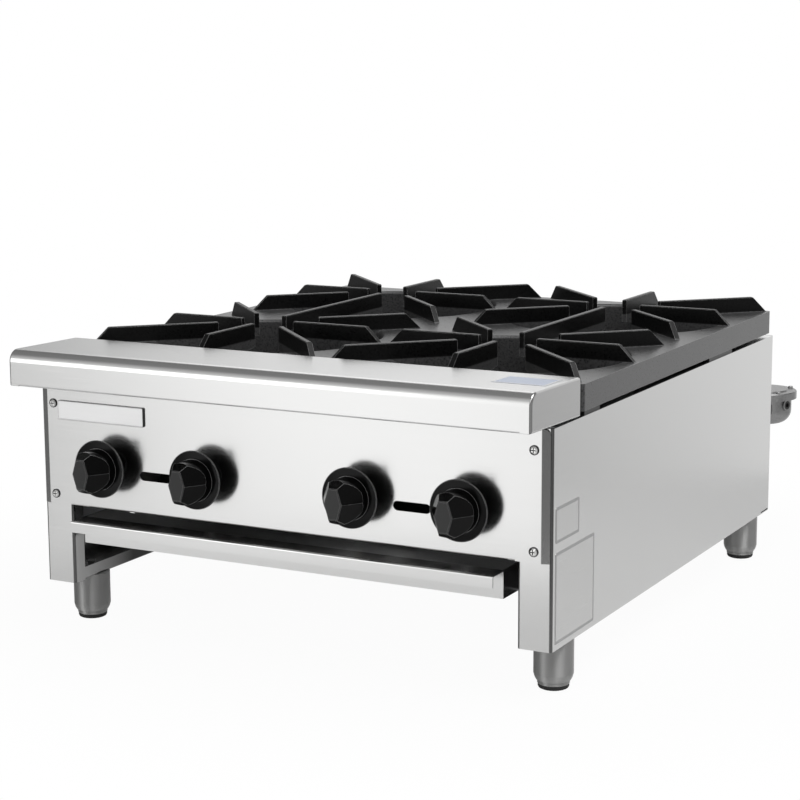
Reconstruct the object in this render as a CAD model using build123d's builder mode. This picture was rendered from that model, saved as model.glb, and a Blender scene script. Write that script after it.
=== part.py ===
from build123d import *
from math import cos, radians, sin
import os

os.makedirs("parts", exist_ok=True)

# Driving dimensions in millimetres
# X runs to the right, Y to the back and Z up from the floor; the origin is on the floor
# under the middle of the whole unit, from the foremost face to the back of the regulator
body_width = 610.0
body_depth = 686.4
body_height = 223.3
leg_height = 52.3
cap_overhang = 54.0
knob_reach = 57.0
regulator_standoff = 98.6
regulator_hub_reach = 46.0
sheet = 1.2
bend = 3.0

half_width = body_width / 2
inner_x = half_width - sheet
front_reach = max(cap_overhang, knob_reach)
unit_depth = front_reach + body_depth + regulator_standoff + regulator_hub_reach
front_y = front_reach - unit_depth / 2
rear_y = front_y + body_depth
base_z = leg_height
side_top_z = base_z + body_height

# Clearances
running = 0.1
threaded = 0.05
loose = 0.3

# Side panels
leg_flange = 37.0
leg_return = 18.0
bottom_lip = 14.3
edge_flange = 15.0
post_x = half_width - leg_flange
weld_notch_inset = 4.4
weld_notch_length = 27.0
weld_notch_height = 1.6

# Front cap and the rail that carries it
cap_depth = 119.0
cap_side_overhang = 1.0
cap_gap = 4.2
cap_height = 38.9
cap_fall = 2.4
cap_end_gap = 1.4
cap_nose = 13.0
cap_end_depth = 12.0
cap_end_round = 2.5
cap_foot = 18.0
rail_height = 22.0
cap_half_width = half_width + cap_side_overhang
cap_front_y = front_y - cap_overhang
cap_rear_y = cap_front_y + cap_depth
cap_lower_z = side_top_z + cap_gap
cap_front_z = cap_lower_z + cap_height
cap_rear_z = cap_front_z - cap_fall
cap_end_lower_z = side_top_z + cap_end_gap
rail_front_y = front_y + leg_return + 0.5
rail_rear_y = cap_rear_y + 0.7

# Control panel
panel_standoff = 4.0
panel_inset = 2.0
panel_wing = 8.0
panel_height = 133.6
panel_corner = 8.0
panel_edge = 2.0
panel_tab_x = -189.0
panel_tab_size = (6.0, 1.5)
panel_front_y = front_y - panel_standoff
panel_back_y = panel_front_y + sheet
panel_half_x = half_width - panel_inset
panel_flat_x = panel_half_x - panel_wing
panel_bottom_z = side_top_z - panel_height
panel_channel_x = post_x - 1.0
screw_inset = 8.0
screw_shank = 2.0
screw_head = 5.0
screw_dome = 2.6
screw_length = 12.0
screw_x = panel_flat_x - screw_inset
screw_z = (panel_bottom_z + 11.3, side_top_z - 21.3)

# Knobs and pilot slots, in two groups with a slot in the middle of each
control_x = 153.8
knob_pitch = 122.0
knob_height = 48.8
slot_drop = 7.0
slot_size = (42.5, 10.0)
knob_x = [side * control_x + step * knob_pitch / 2 for side in (-1, 1) for step in (-1, 1)]
knob_z = panel_bottom_z + knob_height
slot_z = knob_z - slot_drop

skirt_radius = 31.5
skirt_standoff = 20.0
skirt_thickness = 1.8
grip_radius = 22.5
grip_taper = 30.0
grip_half_width = 9.6
grip_half_height = 15.8
knob_hub_radius = 11.0
skirt_front_y = panel_front_y - skirt_standoff
grip_front_y = front_y - knob_reach

# Gas train
pipe_setback = 60.0
pipe_drop = 23.5
pipe_radius = 13.35
pipe_bore = 10.45
pipe_end = 32.2
pipe_cap_radius = 16.5
pipe_cap_length = 20.0
bracket_width = 32.0
supply_inset = 39.6
elbow_reach = 33.0
pipe_insert = 14.0
elbow_radius = 17.0
stem_radius = 4.0
outlet_radius = 7.0
boss_radius = 6.0
pilot_boss_radius = 3.5
valve_radius = 9.5
valve_reach = 27.0
valve_length = 45.0
stem_seat = 19.0
stem_reach = 38.0
pilot_rise = 19.5
pilot_reach = 16.0
pilot_spread = 6.0
tube_radius = 2.4
pipe_y = front_y + pipe_setback
pipe_z = knob_z - pipe_drop
pilot_z = pipe_z + pilot_rise
pilot_rear_y = pipe_y + pilot_reach
valve_front_y = pipe_y - valve_reach
valve_rear_y = valve_front_y + valve_length
stem_front_y = panel_front_y - stem_reach
bracket_x = control_x + knob_pitch / 4
supply_x = half_width - supply_inset

# Cast top: four round wells share the plate inside its margins and webs
top_inset = 2.5
top_gap = 15.0
top_rear_inset = 6.4
top_thickness = 27.5
skirt_gap = 3.7
cast_wall = 5.0
rim_round = 4.0
plate_round = 4.0
side_margin = 19.1
end_margin = 16.5
web_across = 42.8
web_along = 43.0
well_depth = 44.5
top_half_width = half_width - top_inset
top_front_y = cap_rear_y + top_gap
top_rear_y = rear_y - top_rear_inset
top_middle_y = (top_front_y + top_rear_y) / 2
top_depth = top_rear_y - top_front_y
skirt_z = side_top_z + skirt_gap
top_z = skirt_z + top_thickness
well_z = top_z - well_depth
cell_width = top_half_width - side_margin - web_across / 2
cell_depth = (top_depth - web_along) / 2 - end_margin
well_radius = min(cell_width, cell_depth) / 2
burner_x = (web_across + cell_width) / 2
burner_front_y = top_front_y + end_margin + cell_depth / 2
burner_rear_y = top_rear_y - end_margin - cell_depth / 2

# Fins on the cast top; the plate's edges limit the long corner fins
fin_height = 18.5
fin_width = 6.0
fin_edge = 0.8
fin_tip_drop = 8.5
fin_root_drop = 22.5
fin_seat = 2.5
straight_root = 34.5
corner_root = 59.5
straight_inset = 2.2
corner_inset = 5.1
facing_gap = 45.4
fin_top_z = top_z + fin_height
fin_tip_z = top_z - fin_tip_drop
fin_root_z = top_z - fin_root_drop
diagonal = 2**0.5
edge_distance = min(top_half_width - burner_x, burner_front_y - top_front_y)
straight_fin = (straight_root, well_radius - straight_inset)
corner_fin = (corner_root, diagonal * edge_distance - fin_height - corner_inset)
facing_fin = (
    corner_root,
    diagonal * (top_middle_y - burner_front_y - facing_gap / 2) - fin_height,
)

# Rests under the cast top
rest_inset = 0.5
rest_width = 8.0
rest_front_inset = 4.0
rest_front_length = 40.0
rest_rear_inset = 145.0
rest_rear_length = 80.0

# Burners
mixer_radius = 15.0
mixer_bore = 11.0
mixer_gap = 38.0
mouth_radius = 20.0
mouth_wall = 3.5
mouth_length = 18.0
riser_radius = 18.0
riser_bore = 13.0
bowl_depth = 24.0
bowl_radius = 48.0
bowl_bore = 43.7
bowl_drop = 10.0
head_radius = 52.0
head_ring = 47.5
head_bore = 38.0
head_height = 26.0
port_count = 24
port_size = (2.6, 7.0)
rail_gap = 41.5
rail_flange = 15.0
rail_half_depth = 15.0
leg_spread = 32.0
pilot_lead = 62.0
mixer_turn = 92.5
mixer_round = 50.0
mixer_mouth_y = pipe_y + mixer_gap
bowl_top_z = well_z - bowl_drop
rail_top_z = knob_z - rail_gap
rail_bottom_z = rail_top_z - rail_flange

# Drip tray
tray_side_gap = 15.0
tray_gap = 12.2
tray_height = 29.1
tray_rear_gap = 46.4
tray_pull = 25.0
tray_pull_drop = 12.3
runner_shelf = 17.0
runner_setback = 40.0
tray_half_width = post_x - tray_side_gap
tray_depth = body_depth - tray_rear_gap
tray_top_z = panel_bottom_z - tray_gap
tray_bottom_z = tray_top_z - tray_height
runner_inner_x = tray_half_width - runner_shelf

# Feet
foot_inset = 20.2
foot_front_inset = 52.4
foot_rear_inset = 49.2
leg_radius = 20.5
leg_wall = 3.9
shell_bottom = 9.0
pad_height = 5.0
pad_stem = 6.0
bolt_hex = 13.0
foot_x = half_width - foot_inset
foot_y = (front_y + foot_front_inset, rear_y - foot_rear_inset)
insert_radius = leg_radius - leg_wall
pad_radius = insert_radius - 0.6
insert_top_z = leg_height - 9.3

# Regulator
regulator_drop = 22.0
regulator_flange_drop = 11.3
regulator_flange = 9.7
regulator_flange_radius = 40.4
regulator_bowl_radius = 34.0
regulator_bowl_round = 18.0
regulator_hub_radius = 19.0
inlet_radius = 12.1
inlet_length = 20.0
port_turn = -20.0
port_rise = 4.5
port_reach = 36.0
port_radius = 7.5
plug_radius = 5.5
plug_depth = 7.9
cover_screw_radius = 1.8
cover_screw_ring = 36.5
cover_screw_count = 4
cover_screw_turn = 45.0
regulator_y = rear_y + regulator_standoff
regulator_bottom_z = pipe_z - regulator_drop
flange_bottom_z = pipe_z + regulator_flange_drop
flange_split_z = flange_bottom_z + regulator_flange / 2
cover_top_z = flange_bottom_z + regulator_flange


def level(z):
    """Horizontal plane at a height."""
    return Plane.XY.offset(z)


def crosswise(y):
    """Upright X-Z plane at a distance back; pulling by a minus amount runs to the back."""
    return Plane.XZ.offset(-y)


def lengthwise(x):
    """Upright Y-Z plane at a distance to the right."""
    return Plane.YZ.offset(x)


def write(piece, name):
    """Name a finished piece and save it."""
    piece.label = name
    export_step(piece, f"parts/{name}.step")


def folded(points, rounds, plane, length, thickness=sheet):
    """Folded sheet: outer faces follow the points, the thickness lies to their left."""
    with BuildPart() as strip:
        with BuildSketch(plane):
            with BuildLine():
                FilletPolyline(*points, radius=rounds)
                offset(amount=thickness, side=Side.LEFT)
            make_face()
        extrude(amount=length)
    return strip.part


def block(x, y, z):
    """Plain block between two values on each axis."""
    with BuildPart() as body:
        with BuildSketch(level(z[0])):
            with Locations(((x[0] + x[1]) / 2, (y[0] + y[1]) / 2)):
                Rectangle(x[1] - x[0], y[1] - y[0])
        extrude(amount=z[1] - z[0])
    return body.part


def turned(points, base, along, rounds=0):
    """Turned piece: an outline of distances along the axis and radii, spun round the axis."""
    across = (1, 0, 0) if along[2] else (-along[1], along[0], 0)
    with BuildPart() as body:
        with BuildSketch(Plane(origin=base, x_dir=along, z_dir=across)):
            with BuildLine():
                if rounds:
                    FilletPolyline(*points, radius=rounds, close=True)
                else:
                    Polyline(*points, close=True)
            make_face()
        revolve(axis=Axis(base, along))
    return body.part


def rod(base, along, length, radius):
    """Round bar from its base along a direction."""
    return turned([(0, 0), (0, radius), (length, radius), (length, 0)], base, along)


def hexagon_bar(base, along, length, across_flats):
    """Six-sided bar from its base along a direction."""
    side = (0, 1, 0) if along[0] else (1, 0, 0)
    with BuildPart() as body:
        with BuildSketch(Plane(origin=base, x_dir=side, z_dir=along)):
            RegularPolygon(across_flats / 2, 6, major_radius=False)
        extrude(amount=length)
    return body.part


def tube_along(points, rounds, radius):
    """Round bar swept along a bent path."""
    with BuildPart() as body:
        with BuildLine() as route:
            FilletPolyline(*points, radius=rounds)
        with BuildSketch(Plane(origin=route.line @ 0, z_dir=route.line % 0)):
            Circle(radius)
        sweep()
    return body.part


# Side panels
# Front flange with its return, wall and rear flange are one bent strip; the bottom flange
# ends in an upturned lip
panel_wall = folded(
    [
        (post_x, front_y + leg_return),
        (post_x, front_y),
        (half_width, front_y),
        (half_width, rear_y),
        (half_width - edge_flange, rear_y),
    ],
    bend,
    level(base_z),
    body_height,
)
panel_foot = folded(
    [(post_x, base_z + bottom_lip), (post_x, base_z), (inner_x, base_z)],
    bend,
    crosswise(front_y + bend),
    -(body_depth - 2 * bend),
)
panel_top = block(
    (half_width - edge_flange, inner_x),
    (rail_rear_y + loose, rear_y - bend),
    (side_top_z - sheet, side_top_z),
)
notch = block(
    (inner_x, half_width),
    (rear_y - weld_notch_inset - weld_notch_length, rear_y - weld_notch_inset),
    (base_z + sheet, base_z + sheet + weld_notch_height),
)
with BuildPart() as right_side_panel:
    add(panel_wall)
    add(panel_foot)
    add(panel_top)
    add(notch, mode=Mode.SUBTRACT)
    with BuildSketch(level(base_z)):
        with Locations(*[(foot_x, y) for y in foot_y]):
            Circle(stem_radius + loose)
    extrude(amount=sheet, mode=Mode.SUBTRACT)
    with BuildSketch(crosswise(front_y)):
        with Locations(*[(screw_x, z) for z in screw_z]):
            Circle(screw_shank + threaded)
    extrude(amount=-sheet, mode=Mode.SUBTRACT)
write(right_side_panel.part, "right_side_panel")

with BuildPart() as left_side_panel:
    mirror(right_side_panel.part, about=Plane.YZ)
write(left_side_panel.part, "left_side_panel")

# Rear panel, inside the rear flanges, with an opening for the supply pipe
rear_inner_y = rear_y - sheet
rear_wing_x = inner_x - bend + sheet - 0.5
rear_channel = folded(
    [
        (rear_inner_y - edge_flange, base_z + sheet),
        (rear_inner_y, base_z + sheet),
        (rear_inner_y, side_top_z - sheet),
        (rear_inner_y - edge_flange, side_top_z - sheet),
    ],
    bend,
    lengthwise(-panel_channel_x),
    2 * panel_channel_x,
)
rear_wings = [
    block(
        sorted((side * panel_channel_x, side * rear_wing_x)),
        (rear_inner_y - sheet, rear_inner_y),
        (base_z + sheet, side_top_z - sheet),
    )
    for side in (-1, 1)
]
with BuildPart() as rear_panel:
    add(rear_channel)
    add(rear_wings)
    with BuildSketch(crosswise(rear_inner_y)):
        with Locations((supply_x, pipe_z)):
            Circle(pipe_radius + 2 * loose)
    extrude(amount=sheet, mode=Mode.SUBTRACT)
write(rear_panel.part, "rear_panel")

# Front rail under the cap, an open channel between the side walls
with BuildPart() as front_rail:
    add(
        folded(
            [
                (rail_rear_y, side_top_z - rail_height),
                (rail_rear_y, side_top_z),
                (rail_front_y, side_top_z),
                (rail_front_y, side_top_z - rail_height),
            ],
            bend,
            lengthwise(-inner_x),
            2 * inner_x,
        )
    )
write(front_rail.part, "front_rail")

# Front cap: a rounded skin whose two feet stand on the front rail, with pressed ends
cap_foot_y = rail_front_y + bend + 0.5
cap_skin = folded(
    [
        (cap_rear_y - cap_foot, side_top_z),
        (cap_rear_y, side_top_z),
        (cap_rear_y, cap_rear_z),
        (cap_front_y, cap_front_z),
        (cap_front_y, cap_lower_z),
        (cap_foot_y, cap_lower_z),
        (cap_foot_y, side_top_z),
        (cap_foot_y + cap_foot, side_top_z),
    ],
    [2, 3, cap_nose, 2, 1.8, 1.8],
    lengthwise(-cap_half_width + cap_end_depth),
    2 * (cap_half_width - cap_end_depth),
)


def cap_end_outline(inset):
    """Side outline of the cap, drawn in by the inset."""
    return [
        (cap_front_y + inset, cap_lower_z + inset),
        (cap_rear_y - inset, cap_end_lower_z + inset),
        (cap_rear_y - inset, cap_rear_z - inset),
        (cap_front_y + inset, cap_front_z - inset),
    ]


with BuildPart() as cap_end:
    with BuildSketch(lengthwise(cap_half_width - cap_end_depth)):
        with BuildLine():
            FilletPolyline(*cap_end_outline(0), radius=[0.5, 0.5, 3, cap_nose], close=True)
        make_face()
    extrude(amount=cap_end_depth)
    fillet(cap_end.faces().sort_by(Axis.X)[-1].edges(), cap_end_round)
    with BuildSketch(lengthwise(cap_half_width - cap_end_depth)):
        with BuildLine():
            FilletPolyline(
                *cap_end_outline(sheet), radius=[0.3, 0.3, 1.8, cap_nose - sheet], close=True
            )
        make_face()
    extrude(amount=cap_end_depth - sheet, mode=Mode.SUBTRACT)

with BuildPart() as front_cap:
    add(cap_skin)
    add(cap_end.part)
    mirror(cap_end.part, about=Plane.YZ)
write(front_cap.part, "front_cap")

# Control panel: a channel between the legs, with wings that bend back onto them
panel_plate = folded(
    [
        (-panel_half_x, front_y - sheet),
        (-panel_flat_x, panel_front_y),
        (panel_flat_x, panel_front_y),
        (panel_half_x, front_y - sheet),
    ],
    panel_edge,
    level(panel_bottom_z),
    side_top_z - panel_bottom_z,
)
panel_channel = folded(
    [
        (rail_front_y - loose, side_top_z),
        (panel_front_y, side_top_z),
        (panel_front_y, panel_bottom_z),
        (front_y + leg_return - 2, panel_bottom_z),
    ],
    panel_edge,
    lengthwise(-panel_channel_x),
    2 * panel_channel_x,
)
panel_middle = block(
    (-panel_channel_x, panel_channel_x),
    (panel_front_y - sheet, front_y + sheet),
    (base_z, side_top_z),
)
panel_tab = block(
    (panel_tab_x - panel_tab_size[0] / 2, panel_tab_x + panel_tab_size[0] / 2),
    (front_y, front_y + sheet),
    (panel_bottom_z - panel_tab_size[1], panel_bottom_z + sheet),
)
with BuildPart() as control_panel:
    add(panel_plate)
    add(panel_middle, mode=Mode.SUBTRACT)
    add(panel_channel)
    add(panel_tab)
    with BuildSketch(crosswise(panel_front_y)):
        with Locations(*[(x, knob_z) for x in knob_x]):
            Circle(stem_radius + 1.5)
        with Locations((-control_x, slot_z), (control_x, slot_z)):
            SlotOverall(*slot_size)
        with Locations(*[(side * screw_x, z) for side in (-1, 1) for z in screw_z]):
            Circle(screw_shank + loose)
    extrude(amount=-sheet, mode=Mode.SUBTRACT)
    for side in (-1, 1):
        with BuildSketch(crosswise(panel_front_y)):
            with Locations((side * panel_half_x, side_top_z)):
                Rectangle(2 * panel_corner, 2 * panel_corner)
            with Locations((side * (panel_half_x - panel_corner), side_top_z - panel_corner)):
                Circle(panel_corner, mode=Mode.SUBTRACT)
        extrude(amount=-panel_wing, mode=Mode.SUBTRACT)
write(control_panel.part, "control_panel")

# Panel screws with domed cross-slotted heads
screws = []
for side in (-1, 1):
    for z in screw_z:
        head_base = (side * screw_x, panel_front_y, z)
        with BuildPart() as screw:
            add(
                turned(
                    [
                        (-screw_length, 0),
                        (-screw_length, screw_shank),
                        (0, screw_shank),
                        (0, screw_head),
                        (0.8, screw_head),
                        (screw_dome, screw_head / 2),
                        (screw_dome, 0),
                    ],
                    head_base,
                    (0, -1, 0),
                )
            )
            with BuildSketch(crosswise(panel_front_y - screw_dome)):
                with Locations((side * screw_x, z)):
                    Rectangle(screw_head, 1)
                    Rectangle(1, screw_head)
            extrude(amount=-1.6, mode=Mode.SUBTRACT)
        screws.append(screw.part)
with BuildPart() as panel_screws:
    add(screws)
write(panel_screws.part, "panel_screws")

# Manifold pipe, closed at its left end, with a tapping for each valve and pilot valve
manifold_left_x = knob_x[0] - pipe_end
manifold_length = supply_x - elbow_reach + pipe_insert - manifold_left_x
with BuildPart() as manifold_pipe:
    add(rod((manifold_left_x + 10, pipe_y, pipe_z), (1, 0, 0), manifold_length - 10, pipe_radius))
    add(
        turned(
            [
                (0, 0),
                (0, pipe_radius + 0.6),
                (3, pipe_cap_radius),
                (pipe_cap_length, pipe_cap_radius),
                (pipe_cap_length, 0),
            ],
            (manifold_left_x, pipe_y, pipe_z),
            (1, 0, 0),
        )
    )
    add(
        rod((manifold_left_x + 5, pipe_y, pipe_z), (1, 0, 0), manifold_length - 5, pipe_bore),
        mode=Mode.SUBTRACT,
    )
    with BuildSketch(level(pipe_z)):
        with Locations(*[(x, pipe_y) for x in knob_x]):
            Circle(boss_radius + threaded)
        with Locations((-control_x, pipe_y), (control_x, pipe_y)):
            Circle(pilot_boss_radius + threaded)
    extrude(amount=2 * pipe_radius, mode=Mode.SUBTRACT)
write(manifold_pipe.part, "manifold_pipe")

# Supply elbow at the front right corner
elbow_centre = (supply_x, pipe_y, pipe_z)
with BuildPart() as supply_elbow:
    add(rod(elbow_centre, (-1, 0, 0), elbow_reach, elbow_radius))
    add(rod(elbow_centre, (0, 1, 0), elbow_reach, elbow_radius))
    with Locations(elbow_centre):
        Sphere(elbow_radius)
    add(rod(elbow_centre, (-1, 0, 0), elbow_reach, pipe_bore), mode=Mode.SUBTRACT)
    add(rod(elbow_centre, (0, 1, 0), elbow_reach, pipe_bore), mode=Mode.SUBTRACT)
    for along, mouth in (
        ((1, 0, 0), (supply_x - elbow_reach, pipe_y, pipe_z)),
        ((0, -1, 0), (supply_x, pipe_y + elbow_reach, pipe_z)),
    ):
        add(rod(mouth, along, pipe_insert, pipe_radius + threaded), mode=Mode.SUBTRACT)
write(supply_elbow.part, "supply_elbow")

# Supply pipe from the elbow through the rear panel into the regulator
supply_start_y = pipe_y + elbow_reach - pipe_insert
supply_end_y = regulator_y - regulator_hub_reach + pipe_insert
with BuildPart() as supply_pipe:
    add(
        turned(
            [
                (0, pipe_bore),
                (0, pipe_radius),
                (supply_end_y - supply_start_y, pipe_radius),
                (supply_end_y - supply_start_y, pipe_bore),
            ],
            (supply_x, supply_start_y, pipe_z),
            (0, 1, 0),
        )
    )
write(supply_pipe.part, "supply_pipe")

# Manifold brackets from the back of the control panel round the pipe
brackets = []
for side in (-1, 1):
    with BuildPart() as bracket:
        with BuildSketch(lengthwise(side * bracket_x)):
            with Locations(((panel_back_y + pipe_y) / 2, pipe_z)):
                Rectangle(pipe_y - panel_back_y, bracket_width)
            with Locations((pipe_y, pipe_z)):
                Circle(bracket_width / 2)
                Circle(pipe_radius + threaded, mode=Mode.SUBTRACT)
        extrude(amount=2 * side)
        with BuildSketch(crosswise(panel_back_y)):
            with Locations((side * (bracket_x + bracket_width / 4), pipe_z)):
                Rectangle(bracket_width / 2, bracket_width)
        extrude(amount=-2)
    brackets.append(bracket.part)
with BuildPart() as manifold_brackets:
    add(brackets)
write(manifold_brackets.part, "manifold_brackets")

# Gas valves: barrel on the stem's axis, threaded foot in the pipe, outlet to the back
for number, x in enumerate(knob_x, start=1):
    with BuildPart() as gas_valve:
        add(
            turned(
                [
                    (0, stem_radius + running),
                    (0, 10),
                    (3, 10),
                    (3, 7.5),
                    (6, 7.5),
                    (6, valve_radius),
                    (valve_length - 12, valve_radius),
                    (valve_length - 12, outlet_radius),
                    (valve_length, outlet_radius),
                    (valve_length, 3),
                    (stem_seat + 5, 3),
                    (stem_seat + 5, stem_radius + running),
                ],
                (x, valve_front_y, knob_z),
                (0, 1, 0),
            )
        )
        add(rod((x, pipe_y, knob_z - 7), (0, 0, -1), pipe_drop - 11.5, boss_radius))
        add(rod((x, pipe_y, knob_z), (0, 0, -1), pipe_drop, 2.5), mode=Mode.SUBTRACT)
    write(gas_valve.part, f"gas_valve_{number}")

# Valve stems, flat on one side where the knob takes them
stem_rear_y = valve_front_y + stem_seat
for number, x in enumerate(knob_x, start=1):
    with BuildPart() as valve_stem:
        add(rod((x, stem_rear_y, knob_z), (0, -1, 0), stem_rear_y - stem_front_y, stem_radius))
        add(
            block(
                (x - 5, x + 5),
                (stem_front_y, stem_front_y + 14),
                (knob_z + stem_radius - 1.5, knob_z + 5),
            ),
            mode=Mode.SUBTRACT,
        )
    write(valve_stem.part, f"valve_stem_{number}")

# Knobs: thin skirt, round body cut to a tapering six-sided grip
grip_corners = [(1, 1), (2, 0), (1, -1), (-1, -1), (-2, 0), (-1, 1)]
grip_outline = [(x * grip_half_width / 2, z * grip_half_height) for x, z in grip_corners]
for number, x in enumerate(knob_x, start=1):
    skirt = turned(
        [
            (0, 0),
            (0, grip_radius + 1.5),
            (0.6, skirt_radius - 0.6),
            (1.2, skirt_radius),
            (skirt_thickness, skirt_radius),
            (skirt_thickness + 2.2, grip_radius - 4),
            (skirt_thickness + 2.2, 0),
        ],
        (x, skirt_front_y, knob_z),
        (0, 1, 0),
    )
    with BuildPart() as knob:
        with BuildSketch(Plane(origin=(x, grip_front_y, knob_z), x_dir=(1, 0, 0), z_dir=(0, 1, 0))):
            with BuildLine():
                Polyline(*grip_outline, close=True)
            make_face()
        extrude(amount=skirt_front_y - grip_front_y, taper=-grip_taper)
        add(
            rod((x, skirt_front_y, knob_z), (0, -1, 0), skirt_front_y - grip_front_y, grip_radius),
            mode=Mode.INTERSECT,
        )
        chamfer(knob.faces().sort_by(Axis.Y)[0].edges(), 0.8)
        add(skirt)
        add(rod((x, skirt_front_y, knob_z), (0, 1, 0), skirt_standoff - 1, knob_hub_radius))
        add(
            rod((x, panel_front_y, knob_z), (0, -1, 0), stem_reach + 1, stem_radius + threaded),
            mode=Mode.SUBTRACT,
        )
    write(knob.part, f"knob_{number}")

# Orifice fittings, screwed over the valve outlets and aimed into the mixer mouths
hoods = []
for x in knob_x:
    with BuildPart() as hood:
        add(hexagon_bar((x, valve_rear_y - 8, knob_z), (0, 1, 0), 16, 18))
        add(turned([(0, 0), (0, 7.5), (17, 4), (17, 0)], (x, valve_rear_y + 8, knob_z), (0, 1, 0)))
        add(
            turned(
                [
                    (0, 0),
                    (0, outlet_radius + threaded),
                    (8.2, outlet_radius + threaded),
                    (22, 2.5),
                    (31, 1),
                    (33, 1),
                    (33, 0),
                ],
                (x, valve_rear_y - 8, knob_z),
                (0, 1, 0),
            ),
            mode=Mode.SUBTRACT,
        )
    hoods.append(hood.part)
with BuildPart() as orifice_hoods:
    add(hoods)
write(orifice_hoods.part, "orifice_hoods")

# Pilot valves behind the panel slots, each with two outlets to the back
pilot_front_y = pilot_rear_y - 30
pilots = []
for x in (-control_x, control_x):
    with BuildPart() as pilot:
        add(
            turned(
                [(0, 0), (0, 3.5), (4, 3.5), (4, 5.5), (22, 5.5), (22, 0)],
                (x, pilot_front_y, pilot_z),
                (0, 1, 0),
            )
        )
        add(
            block(
                (x - 10, x + 10),
                (pilot_rear_y - 10, pilot_rear_y),
                (pilot_z - 4.5, pilot_z + 4.5),
            )
        )
        add(rod((x, pipe_y, pilot_z), (0, 0, -1), pilot_rise - 9.5, pilot_boss_radius))
        for step in (-pilot_spread, pilot_spread):
            add(
                rod((x + step, pilot_rear_y, pilot_z), (0, -1, 0), 5, tube_radius + threaded),
                mode=Mode.SUBTRACT,
            )
        add(
            block(
                (x - 4, x + 4),
                (pilot_front_y, pilot_front_y + 1),
                (pilot_z - 0.5, pilot_z + 0.5),
            ),
            mode=Mode.SUBTRACT,
        )
    pilots.append(pilot.part)
with BuildPart() as pilot_valves:
    add(pilots)
write(pilot_valves.part, "pilot_valves")

# Pilot tubes: a short one to the front burner and a long low one to the rear burner
pilot_tip_z = bowl_top_z
low_z = rail_top_z + 11
rear_tube_x = burner_x + leg_spread - 14.4
tubes = []
tips = []
for side in (-1, 1):
    near_x = side * (control_x + pilot_spread)
    far_x = side * (control_x - pilot_spread)
    tube_start_y = pilot_rear_y - 4.5
    near_y = burner_front_y - pilot_lead
    far_y = burner_rear_y - pilot_lead
    near = [
        (near_x, tube_start_y, pilot_z),
        (near_x, near_y, pilot_z),
        (near_x, near_y, pilot_tip_z),
    ]
    far = [
        (far_x, tube_start_y, pilot_z),
        (far_x, pilot_rear_y + 18, pilot_z),
        (far_x, pilot_rear_y + 18, low_z),
        (side * rear_tube_x, pilot_rear_y + 36, low_z),
        (side * rear_tube_x, far_y, low_z),
        (side * rear_tube_x, far_y, pilot_tip_z),
    ]
    for route in (near, far):
        tubes.append(tube_along(route, 8, tube_radius))
        tip_x, tip_y, tip_z = route[-1]
        with BuildPart() as tip:
            add(
                turned(
                    [(-6, 0), (-6, 4), (4, 4), (7, 2.5), (7, 0)],
                    (tip_x, tip_y, tip_z),
                    (0, 0, 1),
                )
            )
            add(
                rod((tip_x, tip_y, tip_z - 6), (0, 0, 1), 6.2, tube_radius + threaded),
                mode=Mode.SUBTRACT,
            )
            add(rod((tip_x, tip_y, tip_z), (0, 0, 1), 8, 0.8), mode=Mode.SUBTRACT)
        tips.append(tip.part)
with BuildPart() as pilot_tubes:
    add(tubes)
write(pilot_tubes.part, "pilot_tubes")
with BuildPart() as pilot_burners:
    add(tips)
write(pilot_burners.part, "pilot_burners")

# Burner rails across the body
for name, y in (("burner_rail_front", burner_front_y), ("burner_rail_rear", burner_rear_y)):
    with BuildPart() as rail:
        add(
            folded(
                [
                    (y + rail_half_depth, rail_bottom_z),
                    (y + rail_half_depth, rail_top_z),
                    (y - rail_half_depth, rail_top_z),
                    (y - rail_half_depth, rail_bottom_z),
                ],
                bend,
                lengthwise(-inner_x),
                2 * inner_x,
            )
        )
    write(rail.part, name)

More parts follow.
